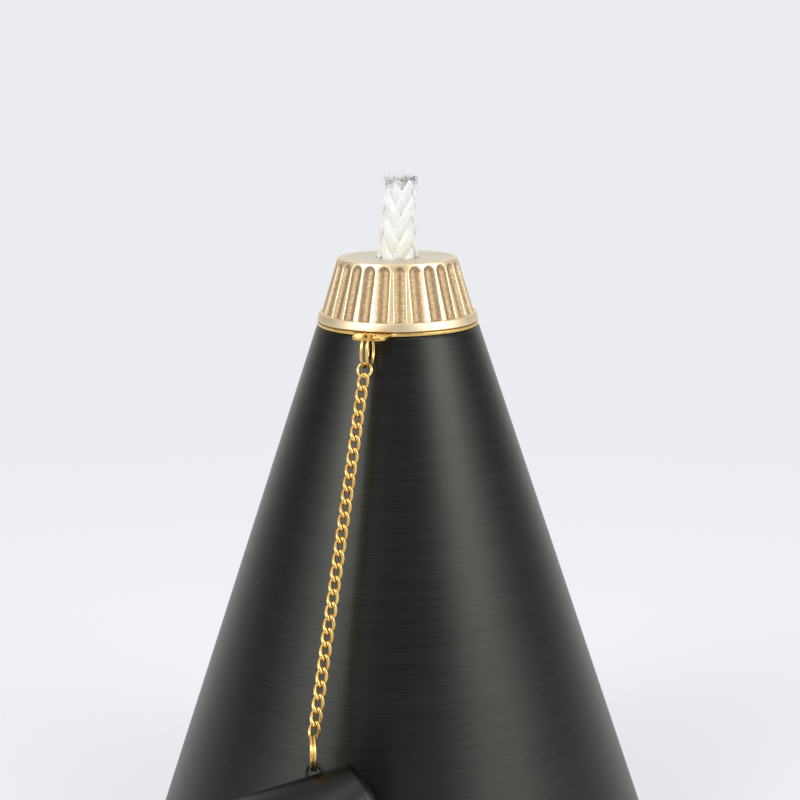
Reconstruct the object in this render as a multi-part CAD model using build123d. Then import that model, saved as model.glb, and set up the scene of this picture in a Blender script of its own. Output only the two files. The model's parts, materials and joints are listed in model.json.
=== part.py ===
from build123d import *
import os
from math import cos, radians, sin, sqrt

# Tabletop cone torch. Millimetres, +Z up, -Y is the front.
# The origin is the centre of the foot pad's underside, which stands on the table.

# Cone body
cone_top_z = 185.0          # plane that the burner's lug washer sits on
cone_top_r = 25.5           # outer radius there, before the shoulder is rounded
cone_taper = 0.335          # radius gained for each millimetre down
cone_wall = 1.0
shoulder_r = 1.5
hem_r = 0.9

# Bottom closure
pad_thickness = 2.5
pad_r = 70.0
plate_thickness = 1.5
plate_gap = 1.2             # plate edge to cone edge
rim_width = 11.0            # turned-in rim of the cone that the plate screws to
screw_count = 6
screw_r = 1.5
screw_head_r = 2.8
screw_head_height = 1.5
screw_length = 8.0

# Neck and fuel tank
bush_r = 16.4
bush_bore_r = 14.6
bush_flange_r = 20.5
bush_flange_thickness = 1.5
bush_length = 25.0
gasket_thickness = 0.8
gasket_play = 0.2
tank_wall = 0.6
tank_r = 56.0
tank_bottom_z = 70.0
tank_neck_length = 15.0
seam_depth = 4.0

# Burner
washer_r = 25.4
washer_thickness = 1.0
fibre_r = 24.8
fibre_thickness = 0.3
flange_r = 25.4
flange_height = 2.6
flange_round = 0.5
fluted_base_r = 23.9
fluted_top_r = 18.7
fluted_height = 17.0
top_round = 0.4
flute_count = 26
flute_depth = 1.05
flute_cutter_r = 2.3
flute_stop = 0.35           # plain metal left above each flute
flute_phase = 1.9           # degrees right of the front to the nearest flute
spigot_r = 14.52
spigot_length = 20.0
wick_hole_r = 6.7
tube_wall = 0.6
tube_below = 42.0           # wick tube's end below the washer
tube_seat = 8.0             # length of tube pressed into the holder
wick_r = 6.35
wick_out = 24.7
wick_length = 145.0

# Lug of the washer
lug_bearing = 16.0          # degrees left of the front
lug_half_width = 5.2
lug_reach = 33.2
lug_corner_r = 2.6
lug_blend_r = 3.0
lug_hole_r = 2.0
lug_hole_reach = 29.6

# Split rings and chain
wire_r = 0.475
coil_offset = 0.45          # each of a ring's two turns from its middle plane
ring_r = 4.8
ring_reach = 32.8           # upper ring's centre from the torch's axis
ring_drop = 3.55            # upper ring's centre below the middle of the lug
play = 0.1                  # gap where two links pull on each other
ring_play = 0.3             # and where a ring pulls on a link
eye_play = 0.5              # and where the lower ring pulls on the eye
chain_heading = 21.2        # degrees left of the front
chain_slope = 22.8          # degrees out from hanging straight down
link_count = 29
first_pitch = 3.45
link_pitch = 3.75
last_pitch = 4.0
link_wire_r = 0.45
link_half_width = 1.3
end_wire_r = 0.4            # first and last links
first_half_width = 2.0      # first link, wide enough for both turns of the ring
last_half_width = 1.6
lower_ring_heading = 2.0
lower_ring_slope = 32.0

# Snuffer
cap_top_r = 10.0
cap_mouth_r = 25.4
cap_height = 45.0
cap_wall = 0.8
cap_round = 1.6
cap_heading = 73.6          # its mouth points this far left of the front
cap_dip = 31.7              # and this far below level
eye_station = 9.7           # along the cap's axis from its closed end
eye_wire_r = 0.55
eye_r = 2.0
eye_leg = 0.9
eye_rivet = 0.5             # wire showing inside the cap

rim_z = pad_thickness + plate_thickness
cone_slope = sqrt(1 + cone_taper**2)
base_r = cone_top_r + cone_taper * (cone_top_z - rim_z)
plate_r = base_r - plate_gap
rim_inner_r = base_r - rim_width
screw_circle_r = base_r - rim_width / 2
bush_flange_top = cone_top_z - cone_wall - gasket_thickness
bush_bottom = cone_top_z - bush_length
washer_top = cone_top_z + washer_thickness
flange_bottom = washer_top + fibre_thickness
flange_top = flange_bottom + flange_height
holder_top = flange_top + fluted_height
wick_top = holder_top + wick_out


def turned(points):
    """Solid of revolution about Z of a closed outline of (radius, height) points."""
    return revolve(make_face(Polyline(*[(r, 0, z) for r, z in points], close=True)), Axis.Z)


def washer(inner_r, outer_r, bottom, top):
    """Flat ring about Z."""
    return turned([(inner_r, bottom), (outer_r, bottom), (outer_r, top), (inner_r, top)])


def circles_at(solid, radius, height):
    """The round edges of a turned solid that have this radius and height."""
    return [e for e in solid.edges().filter_by(GeomType.CIRCLE)
            if abs(e.radius - radius) < 0.01 and abs(e.arc_center.Z - height) < 0.01]


def heading(angle):
    """Level unit vector this many degrees left of the front."""
    return Vector(-sin(radians(angle)), -cos(radians(angle)), 0)


def falling(bearing, slope):
    """Unit vector that falls towards a bearing, this many degrees out from straight down."""
    return heading(bearing) * sin(radians(slope)) - Vector(0, 0, cos(radians(slope)))


def around(count, phase=0):
    """Evenly spaced turns about Z."""
    return [Rot(0, 0, phase + 360 * i / count) for i in range(count)]


def cone_shell():
    inner_base_r = base_r - cone_wall * cone_slope
    inner_top_r = cone_top_r + (cone_taper - cone_slope) * cone_wall
    shell = turned([
        (rim_inner_r, rim_z), (base_r, rim_z), (cone_top_r, cone_top_z), (bush_r, cone_top_z),
        (bush_r, cone_top_z - cone_wall), (inner_top_r, cone_top_z - cone_wall),
        (inner_base_r - cone_taper * cone_wall, rim_z + cone_wall), (rim_inner_r, rim_z + cone_wall),
    ])
    shell = fillet(circles_at(shell, cone_top_r, cone_top_z), shoulder_r)
    shell = fillet(circles_at(shell, base_r, rim_z), hem_r)
    hole = Pos(screw_circle_r, 0, rim_z + cone_wall / 2) * Cylinder(screw_r, 3 * cone_wall)
    for turn in around(screw_count):
        shell -= turn * hole
    return shell


def base_plate():
    plate = washer(0, plate_r, pad_thickness, rim_z)
    hole = Pos(screw_circle_r, 0, rim_z) * Cylinder(screw_r, 4 * plate_thickness)
    for turn in around(screw_count):
        plate -= turn * hole
    return plate


def base_screws():
    """Pan-head screws that hold the plate up against the cone's rim."""
    head = Cylinder(screw_head_r, screw_head_height, align=(Align.CENTER, Align.CENTER, Align.MAX))
    head = chamfer(head.edges().group_by(Axis.Z)[0], screw_head_height / 3)
    head -= Pos(0, 0, -screw_head_height) * Box(0.6, 2 * screw_r, screw_head_height)
    head -= Pos(0, 0, -screw_head_height) * Box(2 * screw_r, 0.6, screw_head_height)
    shank = Cylinder(screw_r, screw_length, align=(Align.CENTER, Align.CENTER, Align.MIN))
    screw = Pos(screw_circle_r, 0, pad_thickness) * (head + shank)
    return Compound([turn * screw for turn in around(screw_count)])


def foot_pad():
    pad = washer(0, pad_r, 0, pad_thickness)
    return fillet(circles_at(pad, pad_r, 0), 0.6)


def neck_bush():
    """Bush in the cone's top that the burner screws into; the fuel tank hangs from it."""
    flange_bottom_z = bush_flange_top - bush_flange_thickness
    return turned([
        (bush_bore_r, bush_bottom), (bush_r, bush_bottom), (bush_r, flange_bottom_z),
        (bush_flange_r, flange_bottom_z), (bush_flange_r, bush_flange_top),
        (bush_r, bush_flange_top), (bush_r, cone_top_z), (bush_bore_r, cone_top_z),
    ])


def fuel_tank():
    """Spun can with a straight neck that fits over the bush."""
    neck_top = bush_flange_top - bush_flange_thickness
    neck_bottom = neck_top - tank_neck_length
    outer_r = bush_r + tank_wall
    slant = (tank_r - outer_r) / (neck_bottom - tank_bottom_z - seam_depth)
    inset = tank_wall * (sqrt(1 + slant**2) - slant) / slant
    return turned([
        (bush_r, neck_top), (outer_r, neck_top), (outer_r, neck_bottom),
        (tank_r, tank_bottom_z + seam_depth), (tank_r, tank_bottom_z),
        (tank_r - tank_wall, tank_bottom_z), (tank_r - tank_wall, tank_bottom_z + seam_depth - inset * slant),
        (bush_r, neck_bottom - inset),
    ])


def tank_bottom():
    """Pressed disc with a turned-down edge, seamed into the can."""
    edge_r = tank_r - tank_wall
    top = tank_bottom_z + seam_depth / 2
    return turned([
        (0, top - tank_wall), (edge_r - tank_wall, top - tank_wall), (edge_r - tank_wall, tank_bottom_z),
        (edge_r, tank_bottom_z), (edge_r, top), (0, top),
    ])


def lug_washer():
    """Thin washer under the burner, with a rounded lug for the chain's upper ring."""
    disc = Circle(washer_r)
    arm_length = lug_reach - washer_r / 2
    arm = Pos(washer_r / 2 + arm_length / 2, 0) * Rectangle(arm_length, 2 * lug_half_width)
    plan = disc + arm
    outer = [v for v in plan.vertices() if v.X > lug_reach - 0.1]
    plan = fillet(outer, lug_corner_r)
    inner = [v for v in plan.vertices() if abs(sqrt(v.X**2 + v.Y**2) - washer_r) < 0.01 and abs(v.Y) > 4]
    plan = fillet(inner, lug_blend_r)
    plan -= Circle(spigot_r + 0.3)
    plan -= Pos(lug_hole_reach, 0) * Circle(lug_hole_r)
    return Pos(0, 0, cone_top_z) * Rot(0, 0, -90 - lug_bearing) * extrude(plan, washer_thickness)


def flute(radius_drop):
    """Cutter for one flute: a round-nosed rod laid along the burner's slope at the front."""
    slope = radius_drop / fluted_height
    centre_offset = flute_cutter_r - flute_depth
    lean = sqrt(1 + slope**2)
    low_r = fluted_base_r + centre_offset * lean
    low = Vector(0, -low_r, flange_top)
    high_z = fluted_height - flute_stop - flute_cutter_r
    high = Vector(0, -(low_r - slope * high_z), flange_top + high_z)
    length = (high - low).length
    rod = Plane(origin=(low + high) / 2, z_dir=high - low) * Cylinder(flute_cutter_r, length)
    tail = Plane(origin=low, z_dir=high - low) * Cylinder(flute_cutter_r, length / 2)
    below = Pos(0, -low_r, flange_top) * Box(
        4 * flute_cutter_r, 4 * flute_cutter_r, length, align=(Align.CENTER, Align.CENTER, Align.MAX))
    return rod + tail + Pos(high) * Sphere(flute_cutter_r) - below


def wick_holder():
    """Brass burner top: a fluted cone on a plain flange, with a spigot for the neck bush."""
    tube_r = wick_hole_r + tube_wall
    spigot_bottom = cone_top_z - spigot_length
    body = turned([
        (tube_r, spigot_bottom), (spigot_r, spigot_bottom), (spigot_r, flange_bottom),
        (flange_r, flange_bottom), (flange_r, flange_top), (fluted_base_r, flange_top),
        (fluted_top_r, holder_top), (wick_hole_r, holder_top),
        (wick_hole_r, spigot_bottom + tube_seat), (tube_r, spigot_bottom + tube_seat),
    ])
    body = fillet(circles_at(body, flange_r, flange_top), flange_round)
    body = fillet(circles_at(body, fluted_top_r, holder_top), top_round)
    body = chamfer(circles_at(body, spigot_r, spigot_bottom), 0.6)
    cutter = flute(fluted_base_r - fluted_top_r)
    for turn in around(flute_count, flute_phase):
        body -= turn * cutter
    return body


def split_ring():
    """Two close turns of wire about the Y axis."""
    middle = Pos(ring_r, 0)
    section = middle * (Pos(0, -coil_offset) * Circle(wire_r) + Pos(0, coil_offset) * Circle(wire_r))
    return revolve(section, Axis.Y)


def link(pitch, wire, half_width):
    """Oval link in the XZ plane, long way along Z, with its two ends play apart from its neighbours'."""
    straight = pitch + play + 2 * wire - 2 * half_width
    bow = Pos(0, 0, straight / 2) * Rot(90, 0, 0) * Torus(half_width, wire, major_angle=180, align=None)
    side = Cylinder(wire, straight)
    return bow + mirror(bow, Plane.XY) + Pos(half_width, 0, 0) * side + Pos(-half_width, 0, 0) * side


def snuffer_cap():
    """Conical cap about Z with its closed end at the origin and its mouth at the top."""
    flare = (cap_mouth_r - cap_top_r) / cap_height
    inset = cap_wall * sqrt(1 + flare**2)
    inner_top_r = cap_top_r + flare * cap_wall - inset
    cap = turned([
        (0, 0), (cap_top_r, 0), (cap_mouth_r, cap_height), (cap_mouth_r - inset, cap_height),
        (inner_top_r, cap_wall), (0, cap_wall),
    ])
    cap = fillet(circles_at(cap, cap_top_r, 0), cap_round)
    cap = fillet(circles_at(cap, inner_top_r, cap_wall), cap_round - cap_wall)
    for leg in eye_legs():
        cap -= leg
    return cap


def eye_base_r():
    """Radius of the cap's outside under the middle of the eye."""
    return cap_top_r + (cap_mouth_r - cap_top_r) * eye_station / cap_height


def eye_legs():
    """The eye's two straight legs, which pass through the cap's wall towards its axis."""
    length = eye_leg + 2 * cap_wall + eye_rivet
    leg = Cylinder(eye_wire_r, length, align=(Align.CENTER, Align.CENTER, Align.MAX))
    return [Pos(eye_base_r() + eye_leg, 0, eye_station + side * eye_r) * Rot(0, 90, 0) * leg
            for side in (-1, 1)]


def snuffer_eye():
    """Wire staple on the cap that the lower ring passes through."""
    arch = Rot(0, 90, 0) * Rot(90, 0, 0) * Torus(eye_r, eye_wire_r, major_angle=180, align=None)
    arch = Pos(eye_base_r() + eye_leg, 0, eye_station) * arch
    legs = eye_legs()
    return arch + legs[0] + legs[1]


def standing_ring(centre, bearing):
    """A split ring in the upright plane that contains a bearing."""
    return Plane(origin=centre, x_dir=Vector(0, 0, 1), z_dir=heading(bearing)) * split_ring()


# Where the hanging pieces lie at rest
down_chain = falling(chain_heading, chain_slope)
upper_ring_centre = heading(lug_bearing) * ring_reach + Vector(
    0, 0, cone_top_z + washer_thickness / 2 - ring_drop)
chain_top = upper_ring_centre + down_chain * (ring_r - wire_r - ring_play + play / 2)
link_pitches = [first_pitch] + [link_pitch] * (link_count - 2) + [last_pitch]
chain_bottom = chain_top + down_chain * sum(link_pitches)
down_ring = falling(lower_ring_heading, lower_ring_slope)
lower_ring_centre = chain_bottom - down_chain * (wire_r + ring_play - play / 2) + down_ring * ring_r
ring_bottom = lower_ring_centre + down_ring * ring_r
cap_axis = heading(cap_heading) * cos(radians(cap_dip)) - Vector(0, 0, sin(radians(cap_dip)))
eye_side = (-down_chain + cap_axis * down_chain.dot(cap_axis)).normalized()
eye_wire_height = eye_base_r() + eye_leg + eye_r - eye_wire_r - wire_r - eye_play
cap_origin = ring_bottom - cap_axis * eye_station - eye_side * eye_wire_height
cap_place = Plane(origin=cap_origin, x_dir=eye_side, z_dir=cap_axis)

parts = {
    "cone_shell": cone_shell(),
    "base_plate": base_plate(),
    "base_screws": base_screws(),
    "foot_pad": foot_pad(),
    "neck_bush": neck_bush(),
    "neck_gasket": washer(bush_r + gasket_play, bush_flange_r,
                          bush_flange_top, bush_flange_top + gasket_thickness),
    "fuel_tank": fuel_tank(),
    "tank_bottom": tank_bottom(),
    "lug_washer": lug_washer(),
    "fibre_washer": washer(spigot_r + 0.3, fibre_r, washer_top, flange_bottom),
    "wick_holder": wick_holder(),
    "wick_tube": washer(wick_hole_r, wick_hole_r + tube_wall, cone_top_z - tube_below,
                        cone_top_z - spigot_length + tube_seat),
    "wick": washer(0, wick_r, wick_top - wick_length, wick_top),
    "upper_split_ring": standing_ring(upper_ring_centre, chain_heading),
    "lower_split_ring": standing_ring(lower_ring_centre, lower_ring_heading),
    "snuffer_cap": cap_place * snuffer_cap(),
    "snuffer_eye": cap_place * snuffer_eye(),
}

link_end = chain_top
for number, pitch in enumerate(link_pitches, start=1):
    middle = link_end + down_chain * (pitch / 2)
    facing = lower_ring_heading if number == link_count else chain_heading
    if number == 1:
        shape = link(pitch, end_wire_r, first_half_width)
    elif number == link_count:
        shape = link(pitch, end_wire_r, last_half_width)
    else:
        shape = link(pitch, link_wire_r, link_half_width)
    quarter_turn = Rot(0, 0, 90 * ((number - 1) % 2))
    parts[f"chain_link_{number:02d}"] = Plane(
        origin=middle, x_dir=heading(facing + 90), z_dir=down_chain) * quarter_turn * shape
    link_end = link_end + down_chain * pitch

os.makedirs("parts", exist_ok=True)
for name, shape in parts.items():
    export_step(shape, f"parts/{name}.step")
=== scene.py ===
import json
import math
import random

import bpy
import numpy as np
from mathutils import Matrix, Vector


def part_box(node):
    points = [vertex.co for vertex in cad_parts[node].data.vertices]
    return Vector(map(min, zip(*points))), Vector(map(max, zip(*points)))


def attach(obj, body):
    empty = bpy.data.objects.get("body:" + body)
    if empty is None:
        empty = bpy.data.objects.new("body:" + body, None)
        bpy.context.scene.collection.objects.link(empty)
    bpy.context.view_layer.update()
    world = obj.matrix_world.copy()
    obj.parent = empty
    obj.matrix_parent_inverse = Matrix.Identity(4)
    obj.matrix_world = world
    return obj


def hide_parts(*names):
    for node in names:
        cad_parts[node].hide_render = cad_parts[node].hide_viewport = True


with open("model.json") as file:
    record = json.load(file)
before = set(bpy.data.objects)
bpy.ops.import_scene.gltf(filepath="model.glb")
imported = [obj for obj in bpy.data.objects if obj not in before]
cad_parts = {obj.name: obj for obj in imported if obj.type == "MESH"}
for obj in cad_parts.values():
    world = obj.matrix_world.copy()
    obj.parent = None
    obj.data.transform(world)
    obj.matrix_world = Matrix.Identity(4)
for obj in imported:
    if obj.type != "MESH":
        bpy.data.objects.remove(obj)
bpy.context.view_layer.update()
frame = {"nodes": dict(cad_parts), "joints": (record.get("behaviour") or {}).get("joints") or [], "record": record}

# Looks of a tabletop cone torch. Metres, +Z up, -Y is the front.
mm = 0.001
rng = random.Random(7)
joints = {j["name"]: j for j in frame["joints"]}


def centre(node):
    low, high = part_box(node)
    return (low + high) / 2


def joint_place(name):
    return Vector(joints[name]["pos_m"])


# Places taken from the CAD frame
flange_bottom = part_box("fibre_washer")[1].z
holder_low, holder_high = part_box("wick_holder")
wick_low, wick_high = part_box("wick")
plate_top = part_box("cone_shell")[1].z
flange_r = holder_high.x
holder_top = holder_high.z
links = sorted(n for n in frame["nodes"] if n.startswith("chain_link_"))
link_places = [centre(n) for n in links]
down_chain = (link_places[-2] - link_places[1]).normalized()

# ---------------------------------------------------------------- camera
camera_data = bpy.data.cameras.new("camera")
camera_data.sensor_width = 36.0
camera_data.lens = 65.25
camera = bpy.data.objects.new("camera", camera_data)
bpy.context.scene.collection.objects.link(camera)
camera_pitch = math.radians(12.7)
camera_roll = math.radians(0.43)
camera.matrix_world = (
    Matrix.Translation((0.5 * mm, -0.453, plate_top + 0.077))
    @ Matrix.Rotation(math.pi / 2 - camera_pitch, 4, "X")
    @ Matrix.Rotation(-camera_roll, 4, "Z")
)
bpy.context.scene.camera = camera


# ---------------------------------------------------------------- node helpers
class Nodes:
    """Short ways to add nodes to a tree. An input that is None is left alone."""

    def __init__(self, tree):
        self.tree = tree

    def add(self, kind, inputs=(), **settings):
        node = self.tree.nodes.new(kind)
        for name, value in settings.items():
            setattr(node, name, value)
        for key, value in dict(inputs).items():
            self.put(node.inputs[key], value)
        return node

    def put(self, socket, value):
        if value is None:
            return
        if isinstance(value, bpy.types.NodeSocket):
            self.tree.links.new(value, socket)
        else:
            socket.default_value = value

    def math(self, operation, a, b=None, c=None, clamp=False):
        node = self.tree.nodes.new("ShaderNodeMath")
        node.operation = operation
        node.use_clamp = clamp
        for i, value in enumerate((a, b, c)):
            self.put(node.inputs[i], value)
        return node.outputs[0]

    def vector(self, operation, a, b=None):
        node = self.tree.nodes.new("ShaderNodeVectorMath")
        node.operation = operation
        self.put(node.inputs[0], a)
        self.put(node.inputs[1], b)
        return node.outputs["Value" if operation == "DOT_PRODUCT" else "Vector"]

    def noise(self, vector, scale, detail=3.0, roughness=0.55):
        node = self.add("ShaderNodeTexNoise", {
            "Vector": vector, "Scale": scale, "Detail": detail, "Roughness": roughness})
        return node.outputs["Fac"]

    def ramp(self, factor, *stops):
        node = self.add("ShaderNodeValToRGB", {"Fac": factor})
        elements = node.color_ramp.elements
        while len(elements) < len(stops):
            elements.new(0.5)
        for element, (position, colour) in zip(elements, stops):
            element.position = position
            element.color = tuple(colour) + (1.0,) if len(colour) == 3 else colour
        return node.outputs["Color"]

    def mix(self, factor, a, b, blend="MIX"):
        node = self.add("ShaderNodeMix", data_type="RGBA", blend_type=blend)
        self.put(node.inputs["Factor"], factor)
        for key, value in (("A", a), ("B", b)):
            socket = next(s for s in node.inputs if s.name == key and s.type == "RGBA")
            self.put(socket, tuple(value) + (1.0,) if isinstance(value, tuple) and len(value) == 3 else value)
        return next(s for s in node.outputs if s.type == "RGBA")

    def range(self, value, low, high, to_low, to_high):
        return self.add("ShaderNodeMapRange", {
            0: value, 1: low, 2: high, 3: to_low, 4: to_high}).outputs[0]

    def bump(self, height, strength, distance, normal=None):
        return self.add("ShaderNodeBump", {
            "Height": height, "Strength": strength, "Distance": distance, "Normal": normal}
        ).outputs["Normal"]


def new_material(name, **constants):
    """A material with one Principled shader; constants set its own sockets."""
    material = bpy.data.materials.new(name)
    material.use_nodes = True
    tree = material.node_tree
    shader = tree.nodes["Principled BSDF"]
    nodes = Nodes(tree)
    for key, value in constants.items():
        socket = key.replace("_", " ")
        if isinstance(value, tuple) and len(value) == 3:
            value = value + (1.0,)
        shader.inputs[socket].default_value = value
    position = tree.nodes.new("ShaderNodeTexCoord").outputs["Object"]
    return material, nodes, shader, position


# ---------------------------------------------------------------- materials
def brushed_black(name, origin, axis, tint_low, tint_high):
    """Dark plated steel, brushed round an axis."""
    material, n, shader, position = new_material(
        name, Metallic=1.0, Anisotropic=0.75, Anisotropic_Rotation=0.25)
    local = n.vector("SUBTRACT", position, tuple(origin))
    height = n.vector("DOT_PRODUCT", local, tuple(axis))
    around = n.vector("CROSS_PRODUCT", tuple(axis), local)
    lift = n.add("ShaderNodeVectorMath", {0: tuple(axis)}, operation="SCALE")
    n.put(lift.inputs["Scale"], n.math("MULTIPLY", height, 60.0))
    stretched = n.vector("ADD", local, lift.outputs[0])
    fine = n.noise(stretched, 60.0, 4.0, 0.75)
    broad = n.noise(stretched, 14.0, 3.0, 0.5)
    cloud = n.noise(local, 14.0, 2.0, 0.5)
    streak = n.math("ADD", n.math("MULTIPLY", fine, 0.75), n.math("MULTIPLY", broad, 0.25))
    shade = n.range(streak, 0.3, 0.7, 0.0, 1.0)
    colour = n.mix(shade, tint_low, tint_high)
    colour = n.mix(n.range(cloud, 0.35, 0.7, 0.0, 0.12), colour, (0.10, 0.10, 0.09))
    n.put(shader.inputs["Base Color"], colour)
    n.put(shader.inputs["Roughness"], n.range(streak, 0.3, 0.7, 0.36, 0.47))
    n.put(shader.inputs["Normal"], n.bump(streak, 0.10, 0.05 * mm))
    n.put(shader.inputs["Tangent"], n.vector("NORMALIZE", around))
    return material


def brass(name, low, high, roughness, grain, grain_size, cloudiness=0.1):
    """Brass with a fine even grain and a little tarnish."""
    material, n, shader, position = new_material(name, Metallic=1.0)
    speck = n.noise(position, 1.0 / grain_size, 3.0, 0.65)
    cloud = n.noise(position, 160.0, 3.0, 0.6)
    worn = n.range(cloud, 0.35, 0.7, 0.0, 1.0)
    colour = n.mix(worn, low, high)
    colour = n.mix(n.range(speck, 0.3, 0.75, 0.0, cloudiness * 3), colour, tuple(0.55 * c for c in low))
    n.put(shader.inputs["Base Color"], colour)
    n.put(shader.inputs["Roughness"], n.range(speck, 0.3, 0.7, roughness - 0.06, roughness + 0.08))
    n.put(shader.inputs["Normal"], n.bump(speck, grain, 0.06 * mm))
    return material


def burner_brass():
    """Satin brass: bright lands, a dull grainy bed in the flutes, and a greyer top face."""
    material, n, shader, position = new_material("satin_brass", Metallic=1.0)
    shape = n.add("ShaderNodeAttribute", attribute_name="shape")
    split = n.add("ShaderNodeSeparateColor", {0: shape.outputs["Color"]})
    cut, top = split.outputs[0], split.outputs[1]
    speck = n.noise(position, 3600.0, 3.0, 0.7)
    coarse = n.noise(position, 1500.0, 3.0, 0.6)
    cloud = n.noise(position, 170.0, 3.0, 0.6)
    worn = n.range(cloud, 0.35, 0.7, 0.0, 1.0)
    land = n.mix(worn, (0.86, 0.70, 0.44), (0.92, 0.79, 0.56))
    bed = n.mix(n.range(coarse, 0.35, 0.65, 0.0, 1.0), (0.33, 0.225, 0.12), (0.53, 0.40, 0.25))
    colour = n.mix(n.range(cut, 0.04, 0.30, 0.0, 1.0), land, bed)
    colour = n.mix(top, colour, n.mix(worn, (0.70, 0.63, 0.51), (0.76, 0.70, 0.59)))
    colour = n.mix(n.range(speck, 0.4, 0.75, 0.0, 0.35), colour, (0.45, 0.33, 0.18))
    n.put(shader.inputs["Base Color"], colour)
    rough = n.math("ADD", n.range(speck, 0.3, 0.7, 0.40, 0.50), n.range(cut, 0.1, 0.6, 0.0, 0.12))
    n.put(shader.inputs["Roughness"], rough)
    grain = n.math("MULTIPLY", coarse, n.range(cut, 0.1, 0.6, 0.35, 1.0))
    n.put(shader.inputs["Normal"], n.bump(grain, 0.35, 0.10 * mm))
    return material


def plain_metal(name, low, high, roughness, axis_lines=0.0):
    """Turned or plated metal with faint rings round Z."""
    material, n, shader, position = new_material(name, Metallic=1.0)
    rings = n.noise(n.vector("MULTIPLY", position, (30.0, 30.0, 2500.0)), 1.0, 3.0)
    spots = n.noise(position, 260.0, 4.0, 0.6)
    n.put(shader.inputs["Base Color"], n.mix(n.range(spots, 0.3, 0.7, 0.0, 1.0), low, high))
    n.put(shader.inputs["Roughness"], n.range(spots, 0.3, 0.7, roughness, roughness + 0.12))
    n.put(shader.inputs["Normal"], n.bump(rings, axis_lines, 0.05 * mm))
    return material


def matte(name, low, high, roughness, size, bump):
    """Rubber, foam or fibre: small pits and mottling."""
    material, n, shader, position = new_material(name)
    pits = n.noise(position, 1.0 / size, 4.0, 0.7)
    n.put(shader.inputs["Base Color"], n.mix(n.range(pits, 0.35, 0.65, 0.0, 1.0), low, high))
    n.put(shader.inputs["Roughness"], n.range(pits, 0.3, 0.7, roughness, min(1.0, roughness + 0.1)))
    n.put(shader.inputs["Normal"], n.bump(pits, bump, 0.2 * mm))
    return material


def rope_material():
    """White glass fibre, with lines along each strand, faintly yellow low down and sooty at the tip."""
    material, n, shader, position = new_material(
        "rope", Specular_IOR_Level=0.45, Sheen_Weight=0.25, Sheen_Roughness=0.4,
        Subsurface_Weight=0.08, Subsurface_Scale=0.4 * mm)
    strand = n.add("ShaderNodeUVMap", uv_map="strand").outputs["UV"]
    lines = n.noise(n.vector("MULTIPLY", strand, (46.0, 0.35, 1.0)), 1.0, 3.0, 0.6)
    split = n.add("ShaderNodeSeparateXYZ", {0: position})
    blotch = n.noise(position, 420.0, 4.0, 0.65)
    wide = n.noise(position, 150.0, 2.0, 0.5)
    white = n.mix(n.range(lines, 0.35, 0.65, 0.0, 1.0), (0.60, 0.61, 0.58), (0.84, 0.85, 0.83))
    low = n.range(split.outputs["Z"], holder_top - 4 * mm, holder_top + 12 * mm, 1.0, 0.0)
    yellow = n.math("MULTIPLY", low, n.range(wide, 0.42, 0.62, 0.0, 0.55), clamp=True)
    colour = n.mix(yellow, white, (0.74, 0.66, 0.42))
    top = n.range(split.outputs["Z"], wick_high.z - 5.2 * mm, wick_high.z - 1.0 * mm, 0.0, 1.0)
    soot = n.math("MULTIPLY", top, n.range(blotch, 0.45, 0.6, 0.0, 0.75), clamp=True)
    colour = n.mix(soot, colour, (0.32, 0.32, 0.33))
    n.put(shader.inputs["Base Color"], colour)
    n.put(shader.inputs["Roughness"], n.range(lines, 0.3, 0.7, 0.42, 0.6))
    n.put(shader.inputs["Normal"], n.bump(lines, 0.5, 0.25 * mm))
    return material


def char_material():
    """Burnt fibre ends."""
    material, n, shader, position = new_material("char")
    speck = n.noise(position, 2200.0, 3.0, 0.6)
    n.put(shader.inputs["Base Color"], n.mix(
        n.range(speck, 0.4, 0.6, 0.0, 1.0), (0.012, 0.012, 0.013), (0.09, 0.09, 0.095)))
    n.put(shader.inputs["Roughness"], n.range(speck, 0.3, 0.7, 0.6, 0.85))
    n.put(shader.inputs["Normal"], n.bump(speck, 0.5, 0.05 * mm))
    return material


# The snuffer's own axis and the middle of its closed end, which its brushing runs round
cap_axis = Vector((-0.8162, -0.2402, -0.5255)).normalized()
cap_origin = Vector((-8.54, -78.74, 64.27)) * mm

black = brushed_black(
    "brushed_black", (0, 0, 0), (0, 0, 1), (0.026, 0.0265, 0.0238), (0.047, 0.048, 0.0435))
black_cap = brushed_black(
    "brushed_black_cap", cap_origin, cap_axis, (0.027, 0.027, 0.0265), (0.047, 0.047, 0.046))
satin_brass = burner_brass()
gold_brass = brass("gold_brass", (0.72, 0.46, 0.13), (0.88, 0.62, 0.24), 0.25, 0.03, 0.35 * mm, 0.05)
thread_brass = plain_metal("thread_brass", (0.66, 0.47, 0.22), (0.78, 0.59, 0.31), 0.3)
bush_brass = plain_metal("bush_brass", (0.62, 0.44, 0.20), (0.75, 0.56, 0.29), 0.34, 0.3)
tin = plain_metal("tin", (0.50, 0.51, 0.52), (0.66, 0.67, 0.68), 0.3, 0.25)
zinc = plain_metal("zinc", (0.55, 0.56, 0.58), (0.72, 0.73, 0.75), 0.28, 0.1)
foam = matte("foam", (0.016, 0.016, 0.017), (0.045, 0.045, 0.047), 0.85, 0.5 * mm, 0.8)
rubber = matte("rubber", (0.02, 0.02, 0.021), (0.05, 0.05, 0.052), 0.6, 0.3 * mm, 0.4)
fibre = matte("fibre", (0.16, 0.08, 0.03), (0.30, 0.17, 0.08), 0.7, 0.25 * mm, 0.5)
rope = rope_material()
char = char_material()


def dress(node, material):
    """Gives a carried-over CAD node its material."""
    data = frame["nodes"][node].data
    data.materials.clear()
    data.materials.append(material)


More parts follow.
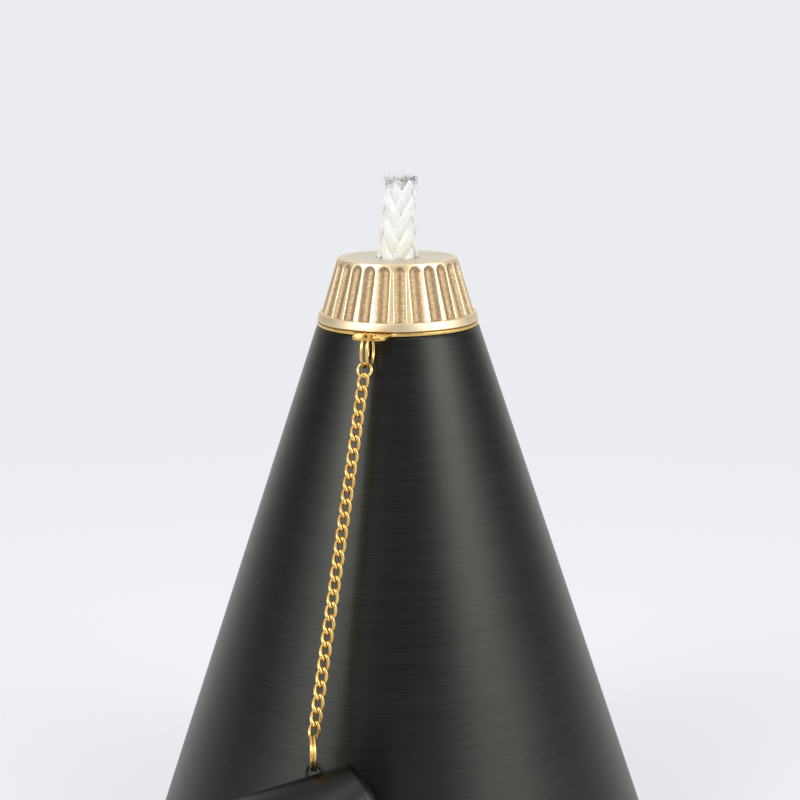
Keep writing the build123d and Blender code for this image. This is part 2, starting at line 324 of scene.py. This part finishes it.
for node, material in {
    "cone_shell": black, "base_plate": black, "base_screws": zinc, "foot_pad": foam,
    "neck_bush": bush_brass, "neck_gasket": rubber, "fuel_tank": tin, "tank_bottom": tin,
    "fibre_washer": fibre, "wick_tube": tin, "snuffer_cap": black_cap, "snuffer_eye": black_cap,
}.items():
    dress(node, material)


# ---------------------------------------------------------------- mesh helpers
def new_piece(name, points, faces, body, replaced, materials, uvs=None, face_materials=None,
              shape=None):
    mesh = bpy.data.meshes.new(name)
    mesh.from_pydata([tuple(p) for p in points], [], faces)
    for material in materials:
        mesh.materials.append(material)
    if face_materials is not None:
        mesh.polygons.foreach_set("material_index", face_materials)
    mesh.polygons.foreach_set("use_smooth", [True] * len(faces))
    if uvs is not None:
        layer = mesh.uv_layers.new(name="strand")
        corner_uvs = [uvs[i] for face in faces for i in face]
        layer.data.foreach_set("uv", [c for uv in corner_uvs for c in uv])
    if shape is not None:
        layer = mesh.color_attributes.new("shape", "FLOAT_COLOR", "POINT")
        layer.data.foreach_set("color", [c for cut, top in shape for c in (cut, top, 0.0, 1.0)])
    mesh.update()
    piece = bpy.data.objects.new(name, mesh)
    bpy.context.scene.collection.objects.link(piece)
    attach(piece, body)
    if replaced:
        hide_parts(*replaced)
    return piece


def grid_faces(rows, columns, first=0, closed_rows=False):
    """Quads of a grid that closes round its columns, and round its rows too if asked."""
    faces = []
    for i in range(rows if closed_rows else rows - 1):
        for j in range(columns):
            a = first + i * columns + j
            b = first + i * columns + (j + 1) % columns
            up = ((i + 1) % rows) * columns + first
            faces.append((a, b, up + (j + 1) % columns, up + j))
    return faces


def flipped(faces):
    return [tuple(reversed(face)) for face in faces]


def sweep(path, section, closed, up):
    """Points of a section carried along a path. The section is given at each step as (side, up)."""
    points = []
    count = len(path)
    for i, p in enumerate(path):
        before = path[i - 1] if i or closed else path[0]
        after = path[(i + 1) % count] if i < count - 1 or closed else path[-1]
        along = (after - before).normalized()
        side = along.cross(up(p, along)).normalized()
        high = side.cross(along)
        for u, v in section(i):
            points.append(p + side * u + high * v)
    return points


def round_section(radius, sides=12):
    ring = [(radius * math.cos(2 * math.pi * k / sides), radius * math.sin(2 * math.pi * k / sides))
            for k in range(sides)]
    return lambda i: ring


# ---------------------------------------------------------------- burner
flute_count = 26
flute_depth = 1.05 * mm
flute_cutter_r = 2.3 * mm
flute_phase = math.radians(1.9)
flange_height = 2.6 * mm
fluted_base_r = flange_r - 1.5 * mm
fluted_top_r = 18.7 * mm
fluted_height = holder_top - flange_bottom - flange_height
flute_stop = 0.35 * mm
wick_hole_r = 6.7 * mm
spigot_r = 14.52 * mm
thread_pitch = 1.5 * mm
thread_depth = 0.7 * mm
edge_softness = 0.06 * mm
bore_depth = 10 * mm              # how far the bore is carried below the flange
columns_per_flute = 28
bore_edge = 0.35 * mm


def flute_cut(angle, rise):
    """How far a flute is cut below the cone at an angle and a height above the flange."""
    spacing = 2 * math.pi / flute_count
    off = (angle - flute_phase + math.pi / 2 + spacing / 2) % spacing - spacing / 2
    radius = fluted_base_r + (fluted_top_r - fluted_base_r) * rise / fluted_height
    across = off * radius
    above = max(0.0, rise - (fluted_height - flute_stop - flute_cutter_r))
    inside = flute_cutter_r**2 - across**2 - above**2
    depth = (math.sqrt(inside) if inside > 0 else 0.0) - (flute_cutter_r - flute_depth)
    # a smooth maximum with zero rounds the flute's edges
    return (depth + math.sqrt(depth**2 + 4 * edge_softness**2)) / 2


def arc(cx, cz, radius, start, end, steps):
    return [(cx + radius * math.cos(math.radians(start + (end - start) * i / steps)),
             cz + radius * math.sin(math.radians(start + (end - start) * i / steps)))
            for i in range(steps + 1)]


def burner():
    columns = flute_count * columns_per_flute
    slope = (fluted_base_r - fluted_top_r) / fluted_height
    shoulder = 0.4 * mm
    angles = [2 * math.pi * j / columns for j in range(columns)]
    rows = []                      # each row is a list of (radius, height) for every angle
    flange_top = flange_bottom + flange_height

    def even(radius, height):
        rows.append([(radius, height)] * columns)

    # bore, then out across the top
    even(wick_hole_r, flange_bottom - bore_depth)
    for r, z in arc(wick_hole_r + bore_edge, holder_top - bore_edge, bore_edge, 180, 90, 4):
        even(r, z)
    for k in range(1, 8):
        across_top = fluted_top_r - shoulder - wick_hole_r - bore_edge
        even(wick_hole_r + bore_edge + across_top * k / 8, holder_top)
    top_row = len(rows)
    # rounded top edge, then down the flutes
    tilt = math.degrees(math.atan(slope))
    bend_x, bend_z = fluted_top_r - shoulder * math.tan(math.radians(45 - tilt / 2)), holder_top - shoulder
    for r, z in arc(bend_x, bend_z, shoulder, 90, tilt, 7):
        even(r, z)
    last_r, last_z = rows[-1][0]
    steps = 64
    foot = 0.3 * mm
    for k in range(1, steps + 1):
        z = last_z + (flange_top + foot - last_z) * (k / steps)
        rise = z - flange_top
        radius = fluted_base_r + (fluted_top_r - fluted_base_r) * rise / fluted_height
        radius += (last_r - (fluted_base_r + (fluted_top_r - fluted_base_r) * (last_z - flange_top)
                             / fluted_height)) * max(0.0, 1 - k / 6)
        rows.append([(radius - flute_cut(a, rise), z) for a in angles])
    # fillet at each flute's foot, the ledge and the flange's rounded edge
    lowest = rows[-1]
    for angle_down in (30, 60, 90):
        t = math.radians(angle_down)
        rows.append([(r + foot * (1 - math.cos(t)), flange_top + foot * (1 - math.sin(t)))
                     for r, _ in lowest])
    edge, flare = 0.35 * mm, 0.5 * mm
    inner = rows[-1]
    foot_row = len(rows) - 1
    for share in (0.35, 0.7):
        rows.append([(r + (flange_r - flare - edge - r) * share, flange_top) for r, _ in inner])
    for r, z in arc(flange_r - flare - edge, flange_top - edge, edge, 90, 12, 5):
        even(r, z)
    for r, z in arc(flange_r - 0.3 * mm, flange_bottom + 0.3 * mm, 0.3 * mm, 12, -90, 5):
        even(r, z)
    even((flange_r + spigot_r) / 2, flange_bottom)
    even(spigot_r - thread_depth, flange_bottom)
    points = [(r * math.cos(a), r * math.sin(a), z) for row in rows for a, (r, z) in zip(angles, row)]
    faces = grid_faces(len(rows), columns)
    shape = []
    for i, row in enumerate(rows):
        for a, (r, z) in zip(angles, row):
            rise = z - flange_top
            cut = flute_cut(a, rise) / flute_depth if 0 <= rise and i < foot_row else 0.0
            shape.append((cut, 1.0 if i < top_row else 0.0))

    # the threaded spigot below, a closed tube of its own
    first = len(points)
    turns = 180
    spigot_bottom = holder_low.z
    spigot_length = flange_bottom - spigot_bottom
    count = int(spigot_length / (thread_pitch / 10))
    spigot = []
    for i in range(count + 1):
        z = flange_bottom - 0.02 * mm - (spigot_length - 0.02 * mm) * i / count
        fade = min(1.0, (flange_bottom - z) / (2.2 * mm), (z - spigot_bottom) / (0.9 * mm))
        row = []
        for j in range(turns):
            a = 2 * math.pi * j / turns
            phase = ((z - flange_bottom) / thread_pitch - a / (2 * math.pi)) % 1.0
            ridge = min(1.0, max(0.0, 2.6 * (0.5 - abs(phase - 0.5))))
            radius = spigot_r - thread_depth * (1 - ridge * max(0.0, fade))
            row.append((radius * math.cos(a), radius * math.sin(a), z))
        spigot += row
    bore = wick_hole_r + 0.6 * mm
    inner_rows = [(bore, spigot_bottom), (bore, spigot_bottom + 8 * mm),
                  (wick_hole_r, spigot_bottom + 8 * mm), (wick_hole_r, flange_bottom - 0.02 * mm)]
    for r, z in inner_rows:
        spigot += [(r * math.cos(2 * math.pi * j / turns), r * math.sin(2 * math.pi * j / turns), z)
                   for j in range(turns)]
    spigot_faces = grid_faces(count + 1 + len(inner_rows), turns, first, closed_rows=True)
    points += spigot
    shape += [(0.0, 0.0)] * len(spigot)
    marks = [0] * len(faces) + [1] * len(spigot_faces)
    return new_piece("burner_body", points, flipped(faces) + flipped(spigot_faces), "burner",
                     ["wick_holder"], [satin_brass, thread_brass], face_materials=marks, shape=shape)


burner()


# ---------------------------------------------------------------- washer with its lug
def lug_washer():
    """Washer and lug: a filled outline with rounded edges, from a bevelled 2-D curve."""
    low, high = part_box("lug_washer")
    ring_at = joint_place("upper_ring_swing")
    bearing = Vector((ring_at.x, ring_at.y, 0)).normalized()
    radius = flange_r
    half, reach, corner, blend = 5.2 * mm, 33.2 * mm, 2.6 * mm, 3.0 * mm
    hole_at, hole_r, bore_r = 29.6 * mm, 2.0 * mm, spigot_r + 0.3 * mm
    edge = 0.18 * mm
    plan = []
    # blend arcs touch the disc and the lug's straight sides
    blend_y = half + blend
    blend_x = math.sqrt((radius + blend)**2 - blend_y**2)
    meet = math.atan2(blend_y, blend_x)
    for i in range(161):
        a = meet + (2 * math.pi - 2 * meet) * i / 160
        plan.append((radius * math.cos(a), radius * math.sin(a)))
    turned = math.degrees(meet)
    plan += arc(blend_x, -blend_y, blend, 180 - turned, 90, 8)[1:]
    plan += arc(reach - corner, -half + corner, corner, -90, 0, 10)
    plan += arc(reach - corner, half - corner, corner, 0, 90, 10)
    plan += arc(blend_x, blend_y, blend, -90, turned - 180, 8)[:-1]

    curve = bpy.data.curves.new("washer_plan", "CURVE")
    curve.dimensions = "2D"
    curve.fill_mode = "BOTH"
    outlines = [plan,
                [(bore_r * math.cos(t), bore_r * math.sin(t)) for t in np.linspace(0, 2 * np.pi, 97)[:-1]],
                [(hole_at + hole_r * math.cos(t), hole_r * math.sin(t))
                 for t in np.linspace(0, 2 * np.pi, 41)[:-1]]]
    for outline in outlines:
        spline = curve.splines.new("POLY")
        spline.points.add(len(outline) - 1)
        for point, (x, y) in zip(spline.points, outline):
            point.co = (x, y, 0, 1)
        spline.use_cyclic_u = True
    curve.extrude = (high.z - low.z) / 2 - edge
    curve.bevel_depth = edge
    curve.bevel_resolution = 3
    curve.offset = -edge
    shape = bpy.data.objects.new("washer_shape", curve)
    mesh = bpy.data.meshes.new_from_object(shape)
    bpy.data.objects.remove(shape)
    mesh.transform(Matrix.Translation((0, 0, (low.z + high.z) / 2))
                   @ Matrix.Rotation(math.atan2(bearing.y, bearing.x), 4, "Z"))
    mesh.materials.clear()
    mesh.materials.append(gold_brass)
    piece = bpy.data.objects.new("washer_and_lug", mesh)
    bpy.context.scene.collection.objects.link(piece)
    for polygon in mesh.polygons:
        polygon.use_smooth = abs(polygon.normal.z) < 0.99
    mesh.set_sharp_from_angle(angle=math.radians(35))
    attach(piece, "lug")
    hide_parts("lug_washer")
    return piece


lug_washer()


# ---------------------------------------------------------------- split rings
def split_ring(name, middle, plane_normal, top, radius, wire, spread, start, body, node):
    """Two turns of wire, spread apart along the ring's axis, with cut ends."""
    across = plane_normal.cross(top).normalized()
    steps = 160
    gap = math.radians(12)          # each end stops short of the crossing from turn to turn
    jog_length = 0.07
    path = []
    for i in range(steps + 1):
        t = i / steps
        angle = start + (4 * math.pi - gap) * t
        jog = smooth_step(min(1.0, max(0.0, (t - 0.5) / jog_length + 0.5)))
        shift = spread * (2 * jog - 1)
        spoke = top * math.cos(angle) + across * math.sin(angle)
        path.append(middle + spoke * radius + plane_normal * shift)
    section = round_section(wire)
    points = sweep(path, section, False, lambda p, along: plane_normal)
    faces = grid_faces(len(path), 12)
    faces.append(tuple(reversed(range(12))))
    faces.append(tuple(range(12 * (len(path) - 1), 12 * len(path))))
    return new_piece(name, points, flipped(faces), body, [node], [gold_brass])


def smooth_step(t):
    return t * t * (3 - 2 * t)


upper_middle = joint_place("upper_ring_swing")
lower_middle = joint_place("lower_ring_swing")
upper_normal = Vector((math.cos(math.radians(11.0)), -math.sin(math.radians(11.0)), 0))
ring_r = 4.8 * mm
ring_wire = 0.475 * mm
split_ring("upper_ring", upper_middle, upper_normal, Vector((0, 0, 1)), ring_r, ring_wire,
           0.84 * mm, math.radians(-35), "upper_ring", "upper_split_ring")
lower_normal = Vector((math.cos(math.radians(-3.8)), -math.sin(math.radians(-3.8)), 0))
split_ring("lower_ring", lower_middle, lower_normal, Vector((0, 0, 1)), ring_r, ring_wire,
           0.48 * mm, math.radians(-90), "lower_ring", "lower_split_ring")


# ---------------------------------------------------------------- chain
def chain_link(number, place, body):
    first, last = number == 1, number == len(links)
    wire = (0.43 if first else 0.46 if last else 0.54) * mm
    half_width = (2.05 if first else 1.40) * mm
    half_length = (2.0 if first else 2.54) * mm
    twist = math.radians(0 if first else 56)
    outward = Vector((0, -1, 0))
    side = down_chain.cross(outward).normalized()
    front = side.cross(down_chain).normalized()
    turn = math.radians(rng.uniform(-5, 5))
    if first:
        turn = math.radians(14)
    facing = Matrix.Rotation(turn, 3, down_chain)
    side, front = facing @ side, facing @ front
    path = []
    steps = 48
    for i in range(steps):
        t = 2 * math.pi * i / steps
        # a rounded oval, a little squarer than an ellipse
        c, s = math.cos(t), math.sin(t)
        x = half_width * math.copysign(abs(s)**0.9, s)
        z = half_length * math.copysign(abs(c)**0.95, c)
        angle = twist * (z / half_length)
        path.append(place + down_chain * z
                    + side * (x * math.cos(angle)) + front * (x * math.sin(angle)))
    points = []
    for i, p in enumerate(path):
        along = (path[(i + 1) % steps] - path[i - 1]).normalized()
        away = (p - place) - along * (p - place).dot(along)
        away.normalize()
        other = along.cross(away)
        points += [p + away * (wire * math.cos(a)) + other * (wire * math.sin(a))
                   for a in np.linspace(0, 2 * np.pi, 13)[:-1]]
    faces = grid_faces(steps, 12, closed_rows=True)
    return new_piece(f"link_{number:02d}", points, faces, body,
                     [links[number - 1]], [gold_brass])


node_bodies = {n: b for b, members in frame["record"]["behaviour"]["bodies"].items() for n in members}
for number, (node, place) in enumerate(zip(links, link_places), start=1):
    chain_link(number, place, node_bodies[node])


# ---------------------------------------------------------------- wick
strand_pairs = 8                # strands that wind each way
turn_height = 64 * mm
weave_bands = 3                 # times round that each way of winding comes on top
mid_r = 4.55 * mm
weave_swing = 0.75 * mm
half_thick = 1.10 * mm
half_wide = 2.05 * mm
section_sides = 26
lean = 1.3 * mm


def wick_scale(z):
    """The wick fills its hole and draws in a little towards the tip."""
    t = min(1.0, max(0.0, (z - holder_top) / (wick_high.z - holder_top)))
    return 1.0 - 0.17 * t**0.8


def wick_centre(z):
    t = min(1.0, max(0.0, (z - holder_top) / (wick_high.z - holder_top)))
    return Vector((lean * t**1.3, 0, z))


def wick():
    points, faces, uvs = [], [], []
    ends = []
    bottom = wick_low.z
    for direction in (1, -1):
        for k in range(strand_pairs):
            start = 2 * math.pi * (k + (0.25 if direction < 0 else 0.0)) / strand_pairs
            stop = wick_high.z - rng.uniform(0.7, 3.0) * mm
            steps = 210
            ripple = [rng.uniform(-1, 1) for _ in range(section_sides)]
            path = []
            for i in range(steps + 1):
                z = bottom + (stop - bottom) * (i / steps)**0.8
                angle = start + direction * 2 * math.pi * (z - bottom) / turn_height
                swing = math.cos(weave_bands * (angle + math.pi / 2) - math.pi / 2)
                radius = (mid_r + direction * weave_swing * swing) * wick_scale(z)
                path.append(wick_centre(z) + Vector((radius * math.cos(angle), radius * math.sin(angle), 0)))

            def section(i):
                z = path[i].z
                thin = wick_scale(z) * (1 - 0.35 * max(0.0, (i - steps + 6) / 6))
                ring = []
                for j in range(section_sides):
                    a = 2 * math.pi * j / section_sides
                    swell = 1 + 0.035 * ripple[j] + 0.02 * math.sin(5 * a + z / mm * 0.7 + k)
                    ring.append((half_wide * thin * swell * math.cos(a),
                                 half_thick * thin * swell * math.sin(a)))
                return ring

            first = len(points)
            points += sweep(path, section, False,
                            lambda p, along: (p - wick_centre(p.z)).normalized())
            rows = len(path)
            length = 0.0
            for i in range(rows):
                length += (path[i] - path[i - 1]).length / mm if i else 0.0
                uvs += [(j / section_sides + k, length) for j in range(section_sides)]
            faces += grid_faces(rows, section_sides, first)
            faces.append(tuple(first + j for j in reversed(range(section_sides))))
            faces.append(tuple(first + section_sides * (rows - 1) + j for j in range(section_sides)))
            ends.append(path[-1])
    # core that closes the middle of the plait
    first = len(points)
    sides = 40
    core_rows = [(0.01 * mm, bottom), (3.7 * mm, bottom), (3.7 * mm, holder_top)]
    top = wick_high.z - 1.9 * mm
    core_rows += [(3.7 * mm * wick_scale(holder_top + (top - holder_top) * i / 12),
                   holder_top + (top - holder_top) * i / 12) for i in range(1, 13)]
    core_rows += [(2.2 * mm, top + 0.4 * mm), (0.01 * mm, top + 0.5 * mm)]
    for r, z in core_rows:
        at = wick_centre(z)
        points += [at + Vector((r * math.cos(2 * math.pi * j / sides),
                                r * math.sin(2 * math.pi * j / sides), 0))
                   for j in range(sides)]
        uvs += [(3 * j / sides, z / mm) for j in range(sides)]
    faces += grid_faces(len(core_rows), sides, first)
    new_piece("wick_plait", points, flipped(faces), "wick_rope", ["wick"], [rope], uvs=uvs)


wick()


def frayed_tip():
    """Loose fibre ends and burnt specks round the wick's tip."""
    points, faces, uvs, marks = [], [], [], []
    tip_r = 5.0 * mm

    def hair(base, direction, length, thickness, mark):
        first = len(points)
        bend = Vector((rng.uniform(-1, 1), rng.uniform(-1, 1), rng.uniform(-0.2, 0.6))) * 0.35
        path = [base + (direction + bend * t) * (length * t) for t in (0, 0.25, 0.5, 0.75, 1.0)]
        widths = [1.0, 0.9, 0.75, 0.55, 0.2]
        corners = (0, 2.094, 4.189)

        def section(i):
            return [(thickness * widths[i] * math.cos(a), thickness * widths[i] * math.sin(a))
                    for a in corners]

        points.extend(sweep(path, section, False, lambda p, along: Vector((along.y, -along.x, 0.3))))
        uvs.extend([(0.1, 0.1)] * (3 * len(path)))
        new = grid_faces(len(path), 3, first)
        new += [(first + 2, first + 1, first), (len(points) - 3, len(points) - 2, len(points) - 1)]
        faces.extend(flipped(new))
        marks.extend([mark] * len(new))

    for _ in range(520):
        a = rng.uniform(0, 2 * math.pi)
        r = tip_r * math.sqrt(rng.uniform(0.05, 1.0))
        z = wick_high.z - rng.uniform(0.6, 3.4) * mm
        outward = Vector((math.cos(a), math.sin(a), 0))
        direction = (Vector((0, 0, 1)) + outward * rng.uniform(-0.3, 0.75) * (r / tip_r)).normalized()
        length = rng.uniform(0.5, 2.4) * mm
        dark = rng.random() < (0.05 + 0.16 * max(0.0, math.cos(a)))
        hair(wick_centre(z) + outward * r, direction, length, rng.uniform(0.025, 0.06) * mm, 1 if dark else 0)
    for _ in range(90):
        a = rng.gauss(-0.3, 0.6) if rng.random() < 0.65 else rng.uniform(0, 2 * math.pi)
        r = tip_r * rng.uniform(0.72, 1.08)
        z = wick_high.z - rng.uniform(-0.3, 2.2) * mm
        base = wick_centre(z) + Vector((math.cos(a), math.sin(a), 0)) * r
        size = rng.uniform(0.06, 0.24) * mm
        first = len(points)
        shape = [(0, 0, 1), (1, 0, 0.2), (0.2, 1, -0.1), (-1, 0.1, 0.3), (-0.1, -1, 0), (0.1, 0.1, -1)]
        turn = Matrix.Rotation(rng.uniform(0, 6.28), 3, "Z") @ Matrix.Rotation(rng.uniform(0, 6.28), 3, "X")
        points.extend(base + (turn @ Vector(c)) * (size * rng.uniform(0.6, 1.3)) for c in shape)
        uvs.extend([(0.1, 0.1)] * 6)
        new = [(0, 1, 2), (0, 2, 3), (0, 3, 4), (0, 4, 1), (5, 2, 1), (5, 3, 2), (5, 4, 3), (5, 1, 4)]
        faces.extend(tuple(first + i for i in face) for face in new)
        marks.extend([1] * len(new))
    new_piece("wick_fray", points, faces, "wick_rope", [], [rope, char],
              uvs=uvs, face_materials=marks)


frayed_tip()

# ---------------------------------------------------------------- floor and light
backdrop_colour = (0.83, 0.84, 0.875)
floor_mesh = bpy.data.meshes.new("floor")
floor_r, floor_sides = 6.0, 96
floor_mesh.from_pydata(
    [(floor_r * math.cos(2 * math.pi * k / floor_sides),
      floor_r * math.sin(2 * math.pi * k / floor_sides), 0.0)
     for k in range(floor_sides)], [], [tuple(range(floor_sides))])
floor_material = bpy.data.materials.new("floor")
floor_material.use_nodes = True
n = Nodes(floor_material.node_tree)
n.tree.nodes.clear()
place = n.add("ShaderNodeTexCoord").outputs["Object"]
distance = n.add("ShaderNodeVectorMath", {0: place}, operation="LENGTH").outputs["Value"]
paper = n.noise(place, 900.0, 3.0)
glow = n.add("ShaderNodeEmission", {"Color": backdrop_colour + (1.0,), "Strength": 1.0})
card = n.add("ShaderNodeBsdfDiffuse", {"Color": n.mix(paper, (0.80, 0.81, 0.835), (0.82, 0.83, 0.855))})
fade = n.range(distance, 0.10, 0.75, 0.55, 1.0)
both = n.add("ShaderNodeMixShader", {0: fade, 1: card.outputs[0], 2: glow.outputs[0]})
n.add("ShaderNodeOutputMaterial", {"Surface": both.outputs[0]})
floor_mesh.materials.append(floor_material)
floor = bpy.data.objects.new("floor", floor_mesh)
bpy.context.scene.collection.objects.link(floor)

world = bpy.data.worlds.new("studio")
bpy.context.scene.world = world
world.use_nodes = True
n = Nodes(world.node_tree)
n.tree.nodes.clear()
direction = n.add("ShaderNodeTexCoord").outputs["Generated"]
parts = n.add("ShaderNodeSeparateXYZ", {0: direction})
bearing = n.math("ARCTAN2", parts.outputs["X"], n.math("MULTIPLY", parts.outputs["Y"], -1.0))
turn_share = n.math("ADD", n.math("DIVIDE", bearing, 2 * math.pi), 0.5)


def grey(value):
    return (value / 4, value / 4, value / 4)


# bearing from the front, to the right, and the light from there
studio = [(-180, 0.95), (-150, 0.75), (-125, 0.36), (-104, 0.14), (-88, 0.28), (-70, 1.50), (-52, 3.00),
          (-40, 1.30), (-28, 0.22), (-16, 0.15), (0, 0.15), (14, 0.18), (30, 0.55), (46, 1.75), (62, 2.95),
          (78, 2.10), (92, 0.72), (108, 0.33), (128, 0.42), (150, 0.78), (180, 0.95)]
level = n.ramp(turn_share, *[((angle + 180) / 360, grey(value)) for angle, value in studio])
overhead = n.range(parts.outputs["Z"], 0.55, 0.95, 0.0, 1.0)
level = n.mix(overhead, level, grey(1.0))
room = n.add("ShaderNodeBackground", {"Color": level, "Strength": 4.0})
seen = n.add("ShaderNodeBackground", {"Color": backdrop_colour + (1.0,), "Strength": 1.0})
is_camera = n.add("ShaderNodeLightPath").outputs["Is Camera Ray"]
chosen = n.add("ShaderNodeMixShader", {0: is_camera, 1: room.outputs[0], 2: seen.outputs[0]})
n.add("ShaderNodeOutputWorld", {"Surface": chosen.outputs[0]})


def softbox(name, azimuth, elevation, distance, width, height, power, colour=(1, 1, 1)):
    """Area light round the burner; azimuth 0 is the front, 90 the right."""
    data = bpy.data.lights.new(name, "AREA")
    data.shape = "RECTANGLE"
    data.size, data.size_y = width, height
    data.energy = power
    data.color = colour
    light = bpy.data.objects.new(name, data)
    bpy.context.scene.collection.objects.link(light)
    a, e = math.radians(azimuth), math.radians(elevation)
    back = Vector((math.sin(a) * math.cos(e), -math.cos(a) * math.cos(e), math.sin(e)))
    light.location = Vector((0, 0, plate_top)) + back * distance
    light.rotation_mode = "QUATERNION"
    light.rotation_quaternion = (-back).to_track_quat("-Z", "Y")
    light.visible_camera = False
    return light


softbox("key", -50, 34, 1.1, 0.45, 0.55, 5.0)
softbox("fill", 55, 30, 1.2, 0.60, 0.60, 4.0)

bpy.context.scene.view_settings.view_transform = "Standard"
